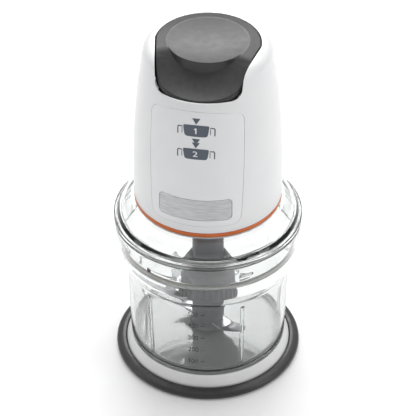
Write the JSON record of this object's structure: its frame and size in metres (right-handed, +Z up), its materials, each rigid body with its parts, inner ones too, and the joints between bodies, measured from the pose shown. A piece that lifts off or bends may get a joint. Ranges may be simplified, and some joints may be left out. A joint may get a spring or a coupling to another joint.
{
  "type": "mini food processor",
  "caption": "One-hand mini food processor: clear bowl on a rubber-ringed base tray, curved steel blades, clear domed cover and a white motor unit with a dark press button.",
  "frame": {"origin": "on the table at the centre of the foot ring's underside", "axes": "+Z up along the blade shaft, -Y the front with the panel and badge, +X to the right seen from the front"},
  "size_m": [0.134, 0.134, 0.2643],
  "materials": {
    "white_plastic": "gloss white",
    "clear_plastic": "clear polished plastic",
    "button_plastic": "satin dark grey",
    "dark_plastic": "black glass-filled nylon",
    "hub_plastic": "satin grey",
    "orange_plastic": "satin orange",
    "nylon": "natural nylon",
    "black_rubber": "satin black rubber",
    "seal_silicone": "translucent silicone",
    "steel": "ground steel",
    "badge_metal": "brushed plate, blank",
    "lamination_steel": "stacked laminations",
    "copper": "enamelled copper wire",
    "brass": "bright",
    "carbon": "pressed carbon",
    "circuit_green": "circuit board"
  },
  "bodies": {
    "base": {"base_plinth": "white_plastic", "base_ring": "black_rubber"},
    "bowl": {"bowl": "clear_plastic", "bowl_spindle": "steel"},
    "blade": {"blade_hub": "hub_plastic", "lower_blade": "steel", "upper_blade": "steel", "drive_socket": "steel"},
    "seal": {"cover_seal": "seal_silicone"},
    "cover": {"cover": "clear_plastic"},
    "power_unit": {"housing": "white_plastic", "front_panel": "white_plastic", "badge_plate": "badge_metal", "accent_ring": "orange_plastic", "bottom_plate": "white_plastic", "bottom_screw_1": "steel", "bottom_screw_2": "steel", "bottom_screw_3": "steel", "cord_gland": "black_rubber", "button_spring": "steel", "speed_switch": "dark_plastic", "circuit_board": "circuit_green", "stator_core": "lamination_steel", "field_coil_left": "copper", "field_coil_right": "copper", "lower_bearing": "steel", "upper_bearing": "steel", "brush_front": "carbon", "brush_rear": "carbon", "brush_holder_front": "brass", "brush_holder_rear": "brass", "motor_frame": "dark_plastic", "upper_bracket": "dark_plastic", "motor_screw_left": "steel", "motor_screw_right": "steel", "ring_gear": "nylon", "gearbox_case": "dark_plastic", "output_bush": "brass"},
    "button": {"button": "button_plastic"},
    "plunger": {"switch_plunger": "nylon"},
    "rotor": {"armature_shaft": "steel", "armature_core": "lamination_steel", "lower_winding": "copper", "upper_winding": "copper", "commutator": "brass", "cooling_fan": "nylon", "sun_pinion": "steel"},
    "carrier": {"planet_carrier": "dark_plastic", "planet_pin_1": "steel", "planet_pin_2": "steel", "planet_pin_3": "steel", "drive_coupling": "steel"},
    "planet_1": {"planet_gear_1": "nylon"},
    "planet_2": {"planet_gear_2": "nylon"},
    "planet_3": {"planet_gear_3": "nylon"}
  },
  "joints": [
    {"name": "bowl_lift", "type": "slide", "parent": "base", "child": "bowl", "axis": [0, 0, 1], "range_m": [0, 0.05]},
    {"name": "blade_spin", "type": "hinge", "parent": "bowl", "child": "blade", "pos_m": [0, 0, 0.05], "axis": [0, 0, 1], "continuous": true},
    {"name": "cover_lift", "type": "slide", "parent": "bowl", "child": "seal", "axis": [0, 0, 1], "range_m": [0, 0.12]},
    {"name": "cover_turn", "type": "hinge", "parent": "seal", "child": "cover", "pos_m": [0, 0, 0.12], "axis": [0, 0, 1], "range_deg": [0, 22.5]},
    {"name": "unit_lift", "type": "slide", "parent": "cover", "child": "power_unit", "axis": [0, 0, 1], "range_m": [0, 0.05]},
    {"name": "button_press", "type": "slide", "parent": "power_unit", "child": "button", "axis": [0, 0, -1], "range_m": [0, 0.005], "stiffness_N_per_m": 1200, "springref_m": -0.004, "deforming": ["button_spring"]},
    {"name": "plunger_travel", "type": "slide", "parent": "power_unit", "child": "plunger", "axis": [0, 0, -1], "range_m": [0, 0.005]},
    {"name": "motor_spin", "type": "hinge", "parent": "power_unit", "child": "rotor", "pos_m": [0, 0, 0.2], "axis": [0, 0, 1], "continuous": true},
    {"name": "carrier_spin", "type": "hinge", "parent": "power_unit", "child": "carrier", "pos_m": [0, 0, 0.155], "axis": [0, 0, 1], "continuous": true},
    {"name": "planet_1_spin", "type": "hinge", "parent": "carrier", "child": "planet_1", "pos_m": [0.0105, 0, 0.16], "axis": [0, 0, 1], "continuous": true},
    {"name": "planet_2_spin", "type": "hinge", "parent": "carrier", "child": "planet_2", "pos_m": [-0.00525, 0.00909, 0.16], "axis": [0, 0, 1], "continuous": true},
    {"name": "planet_3_spin", "type": "hinge", "parent": "carrier", "child": "planet_3", "pos_m": [-0.00525, -0.00909, 0.16], "axis": [0, 0, 1], "continuous": true}
  ],
  "couplings": [
    {"joint": "plunger_travel", "follows": "button_press", "ratio": 1},
    {"joint": "carrier_spin", "follows": "motor_spin", "ratio": 0.2381},
    {"joint": "planet_1_spin", "follows": "motor_spin", "ratio": -0.69264},
    {"joint": "planet_2_spin", "follows": "motor_spin", "ratio": -0.69264},
    {"joint": "planet_3_spin", "follows": "motor_spin", "ratio": -0.69264},
    {"joint": "blade_spin", "follows": "motor_spin", "ratio": 0.2381}
  ]
}
